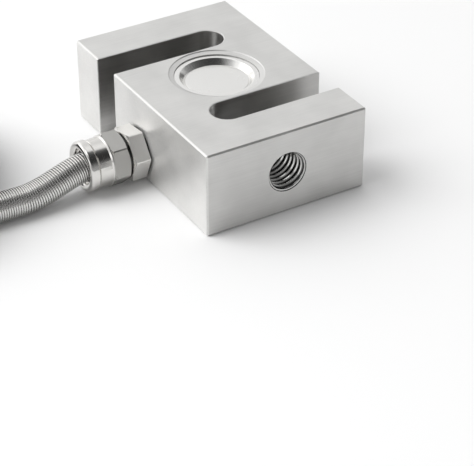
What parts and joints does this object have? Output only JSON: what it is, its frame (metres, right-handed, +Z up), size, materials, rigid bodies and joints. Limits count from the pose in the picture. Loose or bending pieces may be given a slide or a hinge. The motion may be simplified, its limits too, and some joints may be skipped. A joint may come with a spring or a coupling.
{
  "type": "strain gauge load cell",
  "caption": "S-shaped load cell with threaded load bores, sealed gauge pockets, a cable gland with a spring guard and a coiled cable.",
  "frame": {"origin": "middle of the body's bottom face", "axes": "+X along the slots, with the cable leaving on -X; +Y along the load axis through the threaded bores; +Z up, square to the body's broad face"},
  "size_m": [0.1694, 0.1126, 0.0254],
  "materials": {
    "body_steel": "satin, fine ground",
    "cover_steel": "pressed sheet, smooth satin",
    "nickel": "nickel plated, semi-bright",
    "guard_steel": "drawn spring wire, bright",
    "gauge_foil": "foil on an amber backing",
    "board": "solder mask with tinned pads",
    "resistor": "matt",
    "lead_sleeve": "matt",
    "enamel": "enamelled wire",
    "seal_rubber": "matt",
    "cable_sheath": "extruded, slightly satin",
    "core_red": "smooth",
    "core_black": "smooth",
    "core_green": "smooth",
    "core_white": "smooth",
    "tinned_copper": "tinned strands",
    "strap_cloth": "woven hook-and-loop"
  },
  "bodies": {
    "root": {"s_body": "body_steel", "cover_upper": "cover_steel", "cover_lower": "cover_steel", "gauge_upper_left": "gauge_foil", "gauge_upper_right": "gauge_foil", "gauge_lower_left": "gauge_foil", "gauge_lower_right": "gauge_foil", "gauge_lead_upper_left": "lead_sleeve", "gauge_lead_upper_right": "lead_sleeve", "gauge_lead_lower_left": "lead_sleeve", "gauge_lead_lower_right": "lead_sleeve", "terminal_board_upper": "board", "terminal_board_lower": "board", "span_resistor_left": "resistor", "span_resistor_right": "resistor", "link_wire_1": "enamel", "link_wire_2": "enamel", "link_wire_3": "enamel", "link_wire_4": "enamel", "core_red": "core_red", "core_black": "core_black", "core_green": "core_green", "core_white": "core_white", "gland_gasket": "seal_rubber", "gland_body": "nickel", "gland_nut": "nickel", "seal_bush": "seal_rubber", "thrust_washer": "nickel", "spring_guard": "guard_steel", "cable_entry": "cable_sheath", "cable_lead": "cable_sheath", "cable_coil": "cable_sheath", "cable_tail": "cable_sheath", "core_end_red": "core_red", "core_end_black": "core_black", "core_end_green": "core_green", "core_end_white": "core_white", "drain_wire": "tinned_copper", "coil_strap": "strap_cloth"}
  },
  "joints": []
}
